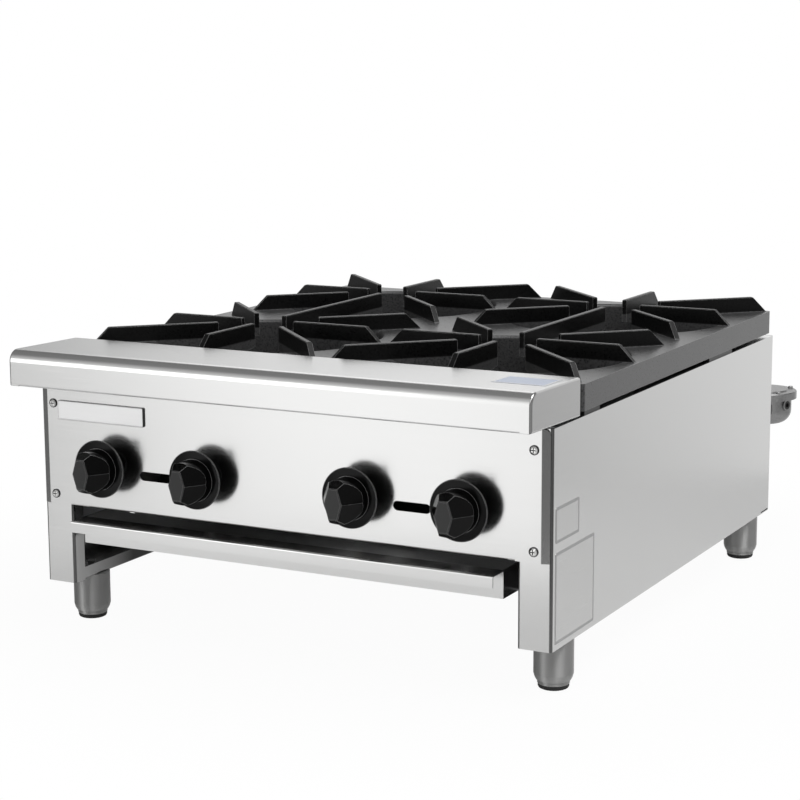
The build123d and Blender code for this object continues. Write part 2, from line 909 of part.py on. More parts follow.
# Burner castings: mixer tube with a flared mouth, riser and open bowl on two legs
# The outer knobs feed the rear burners and the inner knobs the front ones
burner_places = [
    (-burner_x, burner_rear_y),
    (-burner_x, burner_front_y),
    (burner_x, burner_front_y),
    (burner_x, burner_rear_y),
]
for number, (x, (centre_x, centre_y)) in enumerate(zip(knob_x, burner_places), start=1):
    mixer_route = [
        (x, mixer_mouth_y, knob_z),
        (x, centre_y - mixer_turn, knob_z),
        (centre_x, centre_y, knob_z),
    ]
    foot = (centre_x, centre_y, 0)
    mouth = (x, mixer_mouth_y, knob_z)
    with BuildPart() as burner:
        add(tube_along(mixer_route, mixer_round, mixer_radius))
        add(
            turned(
                [(0, 0), (0, mouth_radius), (mouth_length, mixer_radius), (mouth_length, 0)],
                mouth,
                (0, 1, 0),
            )
        )
        add(
            turned(
                [
                    (knob_z - riser_radius - 1.5, 0),
                    (knob_z - mixer_radius - 0.5, riser_radius),
                    (knob_z + riser_radius + 1.5, riser_radius),
                    (bowl_top_z - bowl_depth, bowl_radius),
                    (bowl_top_z, bowl_radius),
                    (bowl_top_z, 0),
                ],
                foot,
                (0, 0, 1),
            )
        )
        for step in (-leg_spread, leg_spread):
            add(
                turned(
                    [
                        (rail_top_z, 0),
                        (rail_top_z, 8),
                        (rail_top_z + 3, 8),
                        (rail_top_z + 7, 5),
                        (bowl_top_z - bowl_depth - 6, 5),
                        (bowl_top_z - bowl_depth - 6, 0),
                    ],
                    (centre_x + step, centre_y, 0),
                    (0, 0, 1),
                )
            )
        add(tube_along(mixer_route, mixer_round, mixer_bore), mode=Mode.SUBTRACT)
        add(
            turned(
                [
                    (0, 0),
                    (0, mouth_radius - mouth_wall),
                    (mouth_length, mixer_bore),
                    (mouth_length, 0),
                ],
                mouth,
                (0, 1, 0),
            ),
            mode=Mode.SUBTRACT,
        )
        add(
            turned(
                [
                    (knob_z - 6.5, 0),
                    (knob_z, riser_bore),
                    (knob_z + riser_radius + 4.5, riser_bore),
                    (bowl_top_z - bowl_depth + 4, bowl_bore),
                    (bowl_top_z, bowl_bore),
                    (bowl_top_z, 0),
                ],
                foot,
                (0, 0, 1),
            ),
            mode=Mode.SUBTRACT,
        )
    write(burner.part, f"burner_{number}")

# Burner heads: a lift-off cap with a ring of flame ports, seated on the bowl's rim
for number, (centre_x, centre_y) in enumerate(burner_places, start=1):
    with BuildPart() as burner_head:
        add(
            turned(
                [
                    (-8, head_bore),
                    (-8, bowl_bore - loose),
                    (0, bowl_bore - loose),
                    (0, bowl_radius + 2),
                    (4, bowl_radius + 2),
                    (5, head_ring),
                    (head_height - 10, head_ring),
                    (head_height - 9, head_radius),
                    (head_height - 4, head_radius),
                    (head_height, head_radius - 6),
                    (head_height, 0),
                    (head_height - 6, 0),
                    (head_height - 9, head_bore),
                ],
                (centre_x, centre_y, bowl_top_z),
                (0, 0, 1),
            )
        )
        with BuildSketch(level(bowl_top_z + port_size[1])):
            with Locations((centre_x, centre_y)):
                with PolarLocations((head_ring + head_bore) / 2, port_count):
                    Rectangle(head_ring - head_bore + 5, port_size[0])
        extrude(amount=port_size[1], mode=Mode.SUBTRACT)
    write(burner_head.part, f"burner_head_{number}")

# Cast top: a plate with a side band, four deep wells and thirty upright fins, one casting
well_places = [
    (side * burner_x, y) for side in (-1, 1) for y in (burner_front_y, burner_rear_y)
]


def fin_outline(inner, outer):
    """Side outline of a fin as distances from the burner's axis and heights."""
    return [
        (inner, fin_tip_z),
        (inner, fin_top_z),
        (outer, fin_top_z),
        (outer + fin_height, top_z),
        (outer + fin_height, top_z - 1),
        (well_radius + fin_seat, top_z - 1),
        (well_radius + fin_seat, fin_root_z),
    ]


def upright(outline, plane):
    """Upright fin of even thickness on its outline, with eased edges along its top."""
    with BuildPart() as body:
        with BuildSketch(plane):
            with BuildLine():
                Polyline(*outline, close=True)
            make_face()
        extrude(amount=fin_width / 2, both=True)
        chamfer(body.faces().sort_by(Axis.Z)[-1].edges(), fin_edge)
    return body.part


def fin(centre, angle, reach):
    """Fin that runs out from a burner's axis at an angle."""
    outward = (cos(radians(angle)), sin(radians(angle)), 0)
    across = (sin(radians(angle)), -cos(radians(angle)), 0)
    return upright(fin_outline(*reach), Plane(origin=(*centre, 0), x_dir=outward, z_dir=across))


# The corner fins towards the front or rear edge are long; those that face the other
# row of wells are shorter
fins = []
for centre_x, centre_y in well_places:
    for angle in (0, 45, 90, 135, 180, 225, 270, 315):
        towards_y = sin(radians(angle)) * (centre_y - top_middle_y) > 0
        if angle in (90, 270) and not towards_y:
            continue
        if angle % 90:
            reach = corner_fin if towards_y else facing_fin
        else:
            reach = straight_fin
        fins.append(fin((centre_x, centre_y), angle, reach))

# The fins between a front and a rear well join into one
link_outline = [
    (burner_front_y + straight_root, fin_tip_z),
    (burner_front_y + straight_root, fin_top_z),
    (burner_rear_y - straight_root, fin_top_z),
    (burner_rear_y - straight_root, fin_tip_z),
    (burner_rear_y - well_radius - fin_seat, fin_root_z),
    (burner_rear_y - well_radius - fin_seat, top_z - 1),
    (burner_front_y + well_radius + fin_seat, top_z - 1),
    (burner_front_y + well_radius + fin_seat, fin_root_z),
]
links = [upright(link_outline, lengthwise(side * burner_x)) for side in (-1, 1)]

with BuildPart() as top_grate:
    with BuildSketch(level(skirt_z)):
        with Locations((0, top_middle_y)):
            RectangleRounded(2 * top_half_width, top_depth, plate_round)
    extrude(amount=top_z - skirt_z)
    with BuildSketch(level(skirt_z)):
        with Locations((0, top_middle_y)):
            Rectangle(2 * (top_half_width - cast_wall), top_depth - 2 * cast_wall)
    extrude(amount=top_z - cast_wall - skirt_z, mode=Mode.SUBTRACT)
    with BuildSketch(level(well_z)):
        with Locations(*well_places):
            Circle(well_radius + cast_wall)
    extrude(amount=top_z - 1 - well_z)
    with BuildSketch(level(well_z)):
        with Locations(*well_places):
            Circle(well_radius)
    extrude(amount=top_z - well_z, mode=Mode.SUBTRACT)
    top_circles = (
        top_grate.edges()
        .filter_by(GeomType.CIRCLE)
        .filter_by_position(Axis.Z, top_z - 0.1, top_z + 0.1)
    )
    fillet([edge for edge in top_circles if edge.radius > well_radius - 1], rim_round)
    add(fins)
    add(links)
write(top_grate.part, "top_grate")

# Rests that keep the cast top off the side panels
rest_outer_x = top_half_width - rest_inset
rest_spans = (
    (top_front_y + rest_front_inset, top_front_y + rest_front_inset + rest_front_length),
    (top_rear_y - rest_rear_inset - rest_rear_length, top_rear_y - rest_rear_inset),
)
rests = [
    block(
        sorted((side * (rest_outer_x - rest_width), side * rest_outer_x)),
        span,
        (side_top_z, skirt_z),
    )
    for side in (-1, 1)
    for span in rest_spans
]
with BuildPart() as grate_rests:
    add(rests)
write(grate_rests.part, "grate_rests")

# Drip tray with a forward pull lip
tray_pull_strip = folded(
    [
        (front_y + sheet, tray_top_z),
        (front_y - tray_pull, tray_top_z),
        (front_y - tray_pull, tray_top_z - tray_pull_drop),
    ],
    2,
    lengthwise(-tray_half_width),
    2 * tray_half_width,
)
with BuildPart() as drip_tray:
    with BuildSketch(level(tray_bottom_z)):
        with Locations((0, front_y + tray_depth / 2)):
            Rectangle(2 * tray_half_width, tray_depth)
    extrude(amount=tray_top_z - tray_bottom_z)
    with BuildSketch(level(tray_bottom_z + sheet)):
        with Locations((0, front_y + tray_depth / 2)):
            Rectangle(2 * (tray_half_width - sheet), tray_depth - 2 * sheet)
    extrude(amount=tray_top_z - tray_bottom_z, mode=Mode.SUBTRACT)
    add(tray_pull_strip)
write(drip_tray.part, "drip_tray")

# Tray runners, shelves along the side walls
right_runner = folded(
    [
        (runner_inner_x, tray_bottom_z - sheet),
        (inner_x, tray_bottom_z - sheet),
        (inner_x, tray_top_z),
    ],
    bend,
    crosswise(front_y + runner_setback),
    -(tray_depth - 10),
)
with BuildPart() as tray_runner_right:
    add(right_runner)
write(tray_runner_right.part, "tray_runner_right")
with BuildPart() as tray_runner_left:
    mirror(right_runner, about=Plane.YZ)
write(tray_runner_left.part, "tray_runner_left")

# Feet: fixed leg shell, insert that screws out, rubber pad and a bolt through the flange
foot_names = ("front_left", "front_right", "rear_left", "rear_right")
foot_places = [(side * foot_x, y) for y in foot_y for side in (-1, 1)]
bolts = []
for name, (x, y) in zip(foot_names, foot_places):
    with BuildPart() as leg_shell:
        add(
            turned(
                [
                    (shell_bottom, insert_radius + running),
                    (shell_bottom, leg_radius - 2.7),
                    (shell_bottom + 3, leg_radius - 1.1),
                    (shell_bottom + 7, leg_radius),
                    (leg_height, leg_radius),
                    (leg_height, stem_radius + threaded),
                    (leg_height - 6, stem_radius + threaded),
                    (leg_height - 6, insert_radius + running),
                ],
                (x, y, 0),
                (0, 0, 1),
            )
        )
    write(leg_shell.part, f"leg_shell_{name}")
    with BuildPart() as foot_insert:
        add(
            turned(
                [
                    (pad_height, 0),
                    (pad_height, pad_radius),
                    (pad_height + 0.6, insert_radius),
                    (insert_top_z, insert_radius),
                    (insert_top_z, pad_stem),
                    (insert_top_z / 2, pad_stem),
                    (insert_top_z / 2, 0),
                ],
                (x, y, 0),
                (0, 0, 1),
            )
        )
        add(rod((x, y, pad_height), (0, 0, 1), 4, pad_stem + threaded), mode=Mode.SUBTRACT)
    write(foot_insert.part, f"foot_insert_{name}")
    with BuildPart() as rubber_pad:
        add(
            turned(
                [
                    (0, 0),
                    (0, pad_radius - 2.4),
                    (0.8, pad_radius - 0.8),
                    (2.4, pad_radius),
                    (pad_height, pad_radius),
                    (pad_height, pad_stem),
                    (pad_height + 3.8, pad_stem),
                    (pad_height + 3.8, 0),
                ],
                (x, y, 0),
                (0, 0, 1),
            )
        )
    write(rubber_pad.part, f"rubber_pad_{name}")
    with BuildPart() as bolt:
        add(rod((x, y, base_z - 6), (0, 0, 1), 18, stem_radius))
        add(hexagon_bar((x, y, base_z + sheet), (0, 0, 1), bolt_hex / 2, bolt_hex))
    bolts.append(bolt.part)
with BuildPart() as leg_bolts:
    add(bolts)
write(leg_bolts.part, "leg_bolts")

# Regulator: cast body with pipe hubs front and back, flat cover, screws and side plug
port_facing = (cos(radians(port_turn)), sin(radians(port_turn)), 0)
port_back = (-port_facing[0], -port_facing[1], 0)
port_face = (
    supply_x + port_reach * port_facing[0],
    regulator_y + port_reach * port_facing[1],
    pipe_z + port_rise,
)
with BuildPart() as regulator_body:
    with BuildSketch(level(regulator_bottom_z)):
        with Locations((supply_x, regulator_y)):
            Circle(regulator_bowl_radius)
    extrude(amount=flange_split_z - regulator_bottom_z)
    fillet(regulator_body.edges().sort_by(Axis.Z)[0], regulator_bowl_round)
    with BuildSketch(level(flange_bottom_z)):
        with Locations((supply_x, regulator_y)):
            Circle(regulator_flange_radius)
    extrude(amount=flange_split_z - flange_bottom_z)
    add(rod(port_face, port_back, port_reach, port_radius))
    add(
        rod(
            (supply_x, regulator_y - regulator_hub_reach, pipe_z),
            (0, 1, 0),
            2 * regulator_hub_reach,
            regulator_hub_radius,
        )
    )
    add(
        rod(
            (supply_x, regulator_y - regulator_hub_reach, pipe_z),
            (0, 1, 0),
            pipe_insert + 0.5,
            pipe_radius + threaded,
        ),
        mode=Mode.SUBTRACT,
    )
    add(
        rod(
            (supply_x, regulator_y + regulator_hub_reach, pipe_z),
            (0, -1, 0),
            inlet_length,
            inlet_radius,
        ),
        mode=Mode.SUBTRACT,
    )
    add(
        rod(port_face, port_back, plug_depth + 0.1, plug_radius + threaded),
        mode=Mode.SUBTRACT,
    )
    with BuildSketch(level(flange_split_z)):
        with Locations((supply_x, regulator_y)):
            Circle(regulator_flange_radius + loose)
    extrude(amount=regulator_flange, mode=Mode.SUBTRACT)
    with BuildSketch(level(flange_split_z)):
        with Locations((supply_x, regulator_y)):
            with PolarLocations(cover_screw_ring, cover_screw_count, cover_screw_turn):
                Circle(cover_screw_radius + threaded)
    extrude(amount=-3.8, mode=Mode.SUBTRACT)
write(regulator_body.part, "regulator_body")

with BuildPart() as regulator_cover:
    add(
        turned(
            [
                (flange_split_z, 0),
                (flange_split_z, regulator_flange_radius),
                (cover_top_z - 1, regulator_flange_radius),
                (cover_top_z, regulator_flange_radius - 1),
                (cover_top_z, regulator_bowl_radius - 4),
                (cover_top_z + 1.4, regulator_bowl_radius - 6),
                (cover_top_z + 1.4, 0),
            ],
            (supply_x, regulator_y, 0),
            (0, 0, 1),
        )
    )
    with BuildSketch(level(flange_split_z)):
        with Locations((supply_x, regulator_y)):
            with PolarLocations(cover_screw_ring, cover_screw_count, cover_screw_turn):
                Circle(cover_screw_radius + threaded)
    extrude(amount=regulator_flange, mode=Mode.SUBTRACT)
write(regulator_cover.part, "regulator_cover")

cover_screws = []
for turn in range(cover_screw_count):
    angle = radians(cover_screw_turn + turn * 360 / cover_screw_count)
    screw_place = (
        supply_x + cover_screw_ring * cos(angle),
        regulator_y + cover_screw_ring * sin(angle),
        cover_top_z,
    )
    with BuildPart() as cover_screw:
        add(
            turned(
                [
                    (-regulator_flange / 2 - 3.6, 0),
                    (-regulator_flange / 2 - 3.6, cover_screw_radius),
                    (0, cover_screw_radius),
                    (0, 3.4),
                    (1.6, 3.2),
                    (2.4, 2.2),
                    (2.4, 0),
                ],
                screw_place,
                (0, 0, 1),
            )
        )
        with BuildSketch(level(cover_top_z + 2.4)):
            with Locations(screw_place[:2]):
                Rectangle(5, 0.9)
        extrude(amount=-1.2, mode=Mode.SUBTRACT)
    cover_screws.append(cover_screw.part)
with BuildPart() as regulator_screws:
    add(cover_screws)
write(regulator_screws.part, "regulator_screws")

with BuildPart() as regulator_plug:
    add(
        turned(
            [
                (-plug_depth, 0),
                (-plug_depth, plug_radius),
                (0, plug_radius),
                (0, 3),
                (-3, 3),
                (-3, 0),
            ],
            port_face,
            port_facing,
        )
    )
write(regulator_plug.part, "regulator_plug")
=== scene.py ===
from math import cos, radians, sin

import bpy
from mathutils import Matrix, Vector


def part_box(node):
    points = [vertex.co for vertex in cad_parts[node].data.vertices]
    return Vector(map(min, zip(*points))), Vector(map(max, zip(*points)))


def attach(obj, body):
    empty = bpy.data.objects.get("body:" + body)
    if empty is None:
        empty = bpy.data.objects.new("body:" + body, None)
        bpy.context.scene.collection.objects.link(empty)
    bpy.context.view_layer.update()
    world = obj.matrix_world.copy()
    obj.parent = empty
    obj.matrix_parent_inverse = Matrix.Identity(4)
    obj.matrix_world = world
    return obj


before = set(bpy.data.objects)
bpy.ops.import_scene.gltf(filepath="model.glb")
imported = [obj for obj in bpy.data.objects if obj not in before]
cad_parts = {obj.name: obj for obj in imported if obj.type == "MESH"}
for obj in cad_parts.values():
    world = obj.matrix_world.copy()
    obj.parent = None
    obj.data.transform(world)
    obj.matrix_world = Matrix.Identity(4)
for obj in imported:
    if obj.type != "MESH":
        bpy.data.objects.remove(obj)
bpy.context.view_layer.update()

# Main places, in metres, taken from the frame
BODY_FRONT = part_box("right_side_panel")[0][1]
BODY_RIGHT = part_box("right_side_panel")[1][0]
BODY_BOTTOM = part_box("right_side_panel")[0][2]
PANEL_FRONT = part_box("control_panel")[0][1]
# Height of the cast top's fins above its plate
FIN_RISE = 0.0185
PLATE_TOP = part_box("top_grate")[1][2] - FIN_RISE


def collection_add(obj):
    """Links a new object into the scene."""
    bpy.context.scene.collection.objects.link(obj)
    return obj


# Shader nodes
def add_node(tree, kind, inputs, **settings):
    """New node with its settings; each input takes a value or the socket of another node."""
    node = tree.nodes.new(kind)
    for setting, value in settings.items():
        setattr(node, setting, value)
    for key, value in inputs.items():
        if isinstance(value, bpy.types.NodeSocket):
            tree.links.new(value, node.inputs[key])
        else:
            node.inputs[key].default_value = value
    return node


def add_math(tree, operation, *values):
    """Number worked out from values and sockets."""
    node = add_node(tree, "ShaderNodeMath", dict(enumerate(values)), operation=operation)
    return node.outputs["Value"]


def add_vector_math(tree, operation, *values):
    """Vector worked out from others; a dot product and a length give a number."""
    node = add_node(tree, "ShaderNodeVectorMath", dict(enumerate(values)), operation=operation)
    return node.outputs["Value" if operation in ("DOT_PRODUCT", "LENGTH") else "Vector"]


def add_split(tree, vector):
    """The three parts of a vector, as sockets named X, Y and Z."""
    return add_node(tree, "ShaderNodeSeparateXYZ", {"Vector": vector}).outputs


def add_fade(tree, value, start, end, low=0.0, high=1.0, interpolation_type="LINEAR"):
    """Goes from low, where a value is at its start, to high at its end, and stays there beyond."""
    inputs = {"Value": value, "From Min": start, "From Max": end, "To Min": low, "To Max": high}
    node = add_node(tree, "ShaderNodeMapRange", inputs, interpolation_type=interpolation_type)
    return node.outputs["Result"]


def add_mix(tree, factor, first, second, data_type="RGBA", blend_type="MIX"):
    """Blends two colours, numbers or vectors; at 0 the first shows alone."""
    inputs = {"Factor": factor, "A": first, "B": second}
    node = add_node(tree, "ShaderNodeMix", inputs, data_type=data_type, blend_type=blend_type)
    return node.outputs["Result"]


def grey(level):
    """Opaque colour without a hue."""
    return (level, level, level, 1)


def new_material(name, color, metallic=0.0, roughness=0.5):
    """Principled material with plain values set on its own sockets."""
    material = bpy.data.materials.new(name)
    material.use_nodes = True
    tree = material.node_tree
    surface = tree.nodes["Principled BSDF"]
    surface.inputs["Base Color"].default_value = (*color, 1)
    surface.inputs["Metallic"].default_value = metallic
    surface.inputs["Roughness"].default_value = roughness
    return material, tree, surface


# Camera at the photograph's viewpoint
CAMERA_LENS = 91.76
CAMERA_SENSOR = 36.0
CAMERA_REACH = 50
CAMERA_AZIMUTH = radians(27.8528)
CAMERA_ELEVATION = radians(10.2212)
CAMERA_ROLL = radians(-0.2702)
# Camera's place from the middle of the body's lower front edge
CAMERA_FROM_BODY = Vector((1.071094, -1.764080, 0.598322))


def make_camera():
    """Camera aimed along the fitted azimuth and elevation."""
    data = bpy.data.cameras.new("view")
    data.lens = CAMERA_LENS
    data.sensor_width = CAMERA_SENSOR
    data.sensor_fit = "HORIZONTAL"
    data.clip_end = CAMERA_REACH
    camera = collection_add(bpy.data.objects.new("view", data))
    back = Vector((
        sin(CAMERA_AZIMUTH) * cos(CAMERA_ELEVATION),
        -cos(CAMERA_AZIMUTH) * cos(CAMERA_ELEVATION),
        sin(CAMERA_ELEVATION),
    ))
    right = Vector((cos(CAMERA_AZIMUTH), sin(CAMERA_AZIMUTH), 0))
    up = back.cross(right)
    rolled_right = cos(CAMERA_ROLL) * right + sin(CAMERA_ROLL) * up
    rolled_up = cos(CAMERA_ROLL) * up - sin(CAMERA_ROLL) * right
    turn = Matrix((rolled_right, rolled_up, back)).transposed()
    place = CAMERA_FROM_BODY + Vector((0, BODY_FRONT, BODY_BOTTOM))
    camera.matrix_world = Matrix.Translation(place) @ turn.to_4x4()
    bpy.context.scene.camera = camera


make_camera()
bpy.context.scene.view_settings.view_transform = "Standard"


# Light and surroundings
# The studio is dark, with pale sides in front to the left, at the back and to the right, and a
# faint one overhead
STUDIO_BASE = 0.16
# Each pale side: direction, full and fading half angles in degrees, height factor, level
STUDIO_LOBES = (
    ((-0.50, -0.86, 0.0), 8, 42, 0.42, 0.46),
    ((-0.46, -0.89, 0.0), 0, 13, 0.3, 0.77),
    ((-0.07, 1.00, 0.0), 16, 50, 1.2, 0.50),
    ((-0.46, 0.74, 0.50), 0, 16, 1.0, 1.20),
    ((0.90, 0.42, 0.0), 10, 45, 1.2, 0.42),
    ((0.75, -0.66, 0.0), 0, 30, 0.5, 0.50),
    ((0.0, -0.1, 1.0), 8, 70, 1.0, 0.10),
)
# White wall behind the object, seen in metal and glass: its full and fading half angles
WALL_TOWARDS = (-0.12, 0.99, 0.0)
WALL_ANGLES = (16, 37)

# Each lamp: name, place, aim, size, power in watts
LAMPS = (
    ("key", (1.2, -0.4, 2.6), (0, 0, 0.1), (2.0, 2.0), 45),
    ("front_left", (-2.4, -3.4, 0.9), (0, -0.3, 0.2), (1.6, 1.5), 10),
    ("front_top", (0.9, -2.4, 2.4), (0, 0, 0.2), (1.4, 1.4), 10),
)

FLOOR_COLOR = (0.75, 0.75, 0.75)
FLOOR_ROUGHNESS = 0.9
# Share of its own white that the floor shows to the camera, and in metal and glass
FLOOR_GLOW = (0.96, 0.25)
FLOOR_RADIUS = 0.85
FLOOR_CORNERS = 60
# Distances from the middle between which the floor turns wholly white to the camera
FLOOR_FADE = (0.45, 0.8)


def make_softbox(name, place, aim, size, power):
    """Rectangular studio lamp aimed at a point."""
    data = bpy.data.lights.new(name, "AREA")
    data.shape = "RECTANGLE"
    data.size, data.size_y = size
    data.energy = power
    lamp = collection_add(bpy.data.objects.new(name, data))
    lamp.location = place
    lamp.rotation_euler = (Vector(aim) - Vector(place)).to_track_quat("-Z", "Y").to_euler()


def seen_by_metal(tree, path):
    """1 for rays that a metal or a glass sends on, 0 for the rest."""
    return add_math(tree, "MAXIMUM", path["Is Glossy Ray"], path["Is Transmission Ray"])


def near_direction(tree, vector, towards, full, fading, power=1.0):
    """A power within one angle of a direction, in degrees, that fades to 0 at a second one."""
    near = add_vector_math(tree, "DOT_PRODUCT", vector, Vector(towards).normalized())
    angles = (cos(radians(fading)), cos(radians(full)))
    return add_fade(tree, near, *angles, 0.0, power, "SMOOTHSTEP")


def make_world():
    """White to the camera; for light and reflections a dark studio with pale sides."""
    world = bpy.data.worlds.new("studio")
    bpy.context.scene.world = world
    world.use_nodes = True
    tree = world.node_tree
    tree.nodes.clear()
    vector = tree.nodes.new("ShaderNodeTexCoord").outputs["Generated"]
    path = tree.nodes.new("ShaderNodeLightPath").outputs
    strength = STUDIO_BASE
    for towards, full, fading, height, power in STUDIO_LOBES:
        flattened = add_vector_math(tree, "MULTIPLY", vector, (1, 1, height))
        level = add_vector_math(tree, "NORMALIZE", flattened)
        lobe = near_direction(tree, level, towards, full, fading, power)
        strength = add_math(tree, "ADD", lobe, strength)
    wall = near_direction(tree, vector, WALL_TOWARDS, *WALL_ANGLES)
    mirrored = add_math(tree, "MULTIPLY", seen_by_metal(tree, path), wall)
    white = add_math(tree, "MAXIMUM", path["Is Camera Ray"], mirrored)
    lit = add_node(tree, "ShaderNodeBackground", {"Color": grey(1), "Strength": strength})
    seen = add_node(tree, "ShaderNodeBackground", {"Color": grey(1), "Strength": 1.0})
    shaders = {"Fac": white, 1: lit.outputs[0], 2: seen.outputs[0]}
    mix = add_node(tree, "ShaderNodeMixShader", shaders)
    add_node(tree, "ShaderNodeOutputWorld", {"Surface": mix.outputs[0]})


def make_floor():
    """Pale round table top that reads white where the object throws no shadow."""
    mesh = bpy.data.meshes.new("floor")
    turns = [radians(360 * step / FLOOR_CORNERS) for step in range(FLOOR_CORNERS)]
    rim = [(FLOOR_RADIUS * cos(turn), FLOOR_RADIUS * sin(turn), 0) for turn in turns]
    mesh.from_pydata(rim, [], [tuple(range(FLOOR_CORNERS))])
    floor = collection_add(bpy.data.objects.new("floor", mesh))
    material, tree, surface = new_material("floor", FLOOR_COLOR, 0.0, FLOOR_ROUGHNESS)
    place = tree.nodes.new("ShaderNodeTexCoord").outputs["Object"]
    path = tree.nodes.new("ShaderNodeLightPath").outputs
    reach = add_vector_math(tree, "LENGTH", place)
    fade = add_fade(tree, reach, *FLOOR_FADE, FLOOR_GLOW[0], 1.0, "SMOOTHSTEP")
    shown = add_math(tree, "MULTIPLY", path["Is Camera Ray"], fade)
    share = add_math(tree, "MULTIPLY_ADD", seen_by_metal(tree, path), FLOOR_GLOW[1], shown)
    glow = add_node(tree, "ShaderNodeEmission", {"Color": grey(1), "Strength": 1.0})
    shaders = {"Fac": share, 1: surface.outputs[0], 2: glow.outputs[0]}
    mix = add_node(tree, "ShaderNodeMixShader", shaders)
    tree.links.new(mix.outputs[0], tree.nodes["Material Output"].inputs["Surface"])
    mesh.materials.append(material)


make_world()
make_floor()
for lamp in LAMPS:
    make_softbox(*lamp)


# Parts of the looks
# A noise keeps mostly between these two values
NOISE_SPREAD = (0.25, 0.75)


def add_noise(tree, scale, detail=3.0, stretch=(1, 1, 1)):
    """Noise in the object's own coordinates, in metres, stretched along axes."""
    place = tree.nodes.new("ShaderNodeTexCoord").outputs["Object"]
    mapping = add_node(tree, "ShaderNodeMapping", {"Vector": place, "Scale": stretch})
    inputs = {"Vector": mapping.outputs["Vector"], "Scale": scale, "Detail": detail}
    return add_node(tree, "ShaderNodeTexNoise", inputs).outputs["Fac"]


def vary_roughness(tree, value, surface, low, high):
    """Roughness that wanders with a noise between low and high."""
    tree.links.new(add_fade(tree, value, *NOISE_SPREAD, low, high), surface.inputs["Roughness"])


def tint(tree, value, surface, color, low, high):
    """Base colour that wanders with a noise between two multiples of a colour."""
    pale = [min(1, c * high) for c in color]
    mix = add_mix(tree, value, (*[c * low for c in color], 1), (*pale, 1))
    tree.links.new(mix, surface.inputs["Base Color"])


def add_bump(tree, value, surface, strength, distance):
    """Fine relief in metres from a 0 to 1 value."""
    inputs = {"Height": value, "Strength": strength, "Distance": distance}
    bump = add_node(tree, "ShaderNodeBump", inputs)
    tree.links.new(bump.outputs["Normal"], surface.inputs["Normal"])


def surface_facts(tree):
    """Place, direction and the like of the point that is shaded."""
    return tree.nodes.new("ShaderNodeNewGeometry").outputs


def facing_split(tree):
    """Parts of the surface's direction, without their signs."""
    return add_split(tree, add_vector_math(tree, "ABSOLUTE", surface_facts(tree)["Normal"]))


def facing_axis(tree, along):
    """1 on the faces that look along an axis and 0 on the rest."""
    return add_fade(tree, facing_split(tree)[along], 0.9, 0.99)


def along_depth(tree, start, end):
    """Grows from 0 at one place along Y to 1 at another."""
    return add_fade(tree, add_split(tree, surface_facts(tree)["Position"])["Y"], start, end)


def edge_highlight_mask(tree, reach):
    """1 along the convex edges of a piece, within a reach in metres, and 0 on its flats: where a
    painted highlight goes.
    """
    rounded = add_node(tree, "ShaderNodeBevel", {"Radius": reach}, samples=6).outputs["Normal"]
    near = add_vector_math(tree, "DOT_PRODUCT", rounded, surface_facts(tree)["Normal"])
    return add_fade(tree, near, 0.985, 0.93)


def darken(material, amount, tone):
    """Multiplies the base colour by a tone where an amount is 1."""
    tree = material.node_tree
    color = tree.nodes["Principled BSDF"].inputs["Base Color"]
    before = color.links[0].from_socket
    tree.links.new(add_mix(tree, amount, before, grey(tone), blend_type="MULTIPLY"), color)


def painted_dark_bends(material, tone):
    """The upright bends of the sheet are coloured dark: a painted reflection of the dark studio.
    """
    tree = material.node_tree
    parts = facing_split(tree)
    both = add_math(tree, "MULTIPLY", parts["X"], parts["Y"])
    darken(material, add_fade(tree, both, 0.03, 0.25), tone)


def painted_shade_ends(material, tone):
    """The closed ends of a folded sheet are coloured darker than its face: painted shade."""
    darken(material, facing_axis(material.node_tree, "X"), tone)


# Shares of the half width between which a face counts as turned to the middle
INWARD_SHARES = (0.4, 0.7)


def painted_inside_shade(material, near, far, tone):
    """Painted shade: the side sheets' inner faces are coloured darker from the front towards the
    back.
    """
    tree = material.node_tree
    facts = surface_facts(tree)
    both = add_vector_math(tree, "MULTIPLY", facts["Position"], facts["Normal"])
    turned = [-BODY_RIGHT * share for share in INWARD_SHARES]
    inward = add_fade(tree, add_split(tree, both)["X"], *turned)
    darken(material, add_math(tree, "MULTIPLY", inward, along_depth(tree, near, far)), tone)


# Finishes
SHEET_STEEL = (0.68, 0.68, 0.675)
GRAIN_SCALE = 2600
# Scale of the grain along its own way
GRAIN_DRAWN = 0.006
# Keeps the grain's way from vanishing where a face looks along it
GRAIN_NUDGE = (0.001, 0.002, 0.003)


def brushed(name, along, color=SHEET_STEEL, roughness=0.2, stretched=0.5, turned=False):
    """Brushed sheet whose grain runs along one axis, so that reflections smear across it.

    Walls that face along that axis have a level grain of their own. On a turned tube the grain
    runs round the axis."""
    material, tree, surface = new_material(name, color, 1.0, roughness)
    axis = "XYZ".index(along)
    grains = (axis, 1 if axis == 0 else 0)
    ways = [[float(i == way) for i in range(3)] for way in grains]
    scales = [[GRAIN_DRAWN if (i == way) != turned else 1.0 for i in range(3)] for way in grains]
    end = facing_axis(tree, along)
    way = add_mix(tree, end, *ways, data_type="VECTOR")
    scale = add_mix(tree, end, *scales, data_type="VECTOR")
    grain = add_noise(tree, GRAIN_SCALE, 2.0, scale)
    vary_roughness(tree, grain, surface, roughness - 0.03, roughness + 0.04)
    tint(tree, grain, surface, color, 0.97, 1.03)
    add_bump(tree, grain, surface, 0.1, 0.00003)
    across = add_vector_math(tree, "CROSS_PRODUCT", surface_facts(tree)["Normal"], way)
    tangent = add_vector_math(tree, "ADD", across, GRAIN_NUDGE)
    tree.links.new(tangent, surface.inputs["Tangent"])
    surface.inputs["Anisotropic"].default_value = stretched
    if turned:
        surface.inputs["Anisotropic Rotation"].default_value = 0.25
    return material


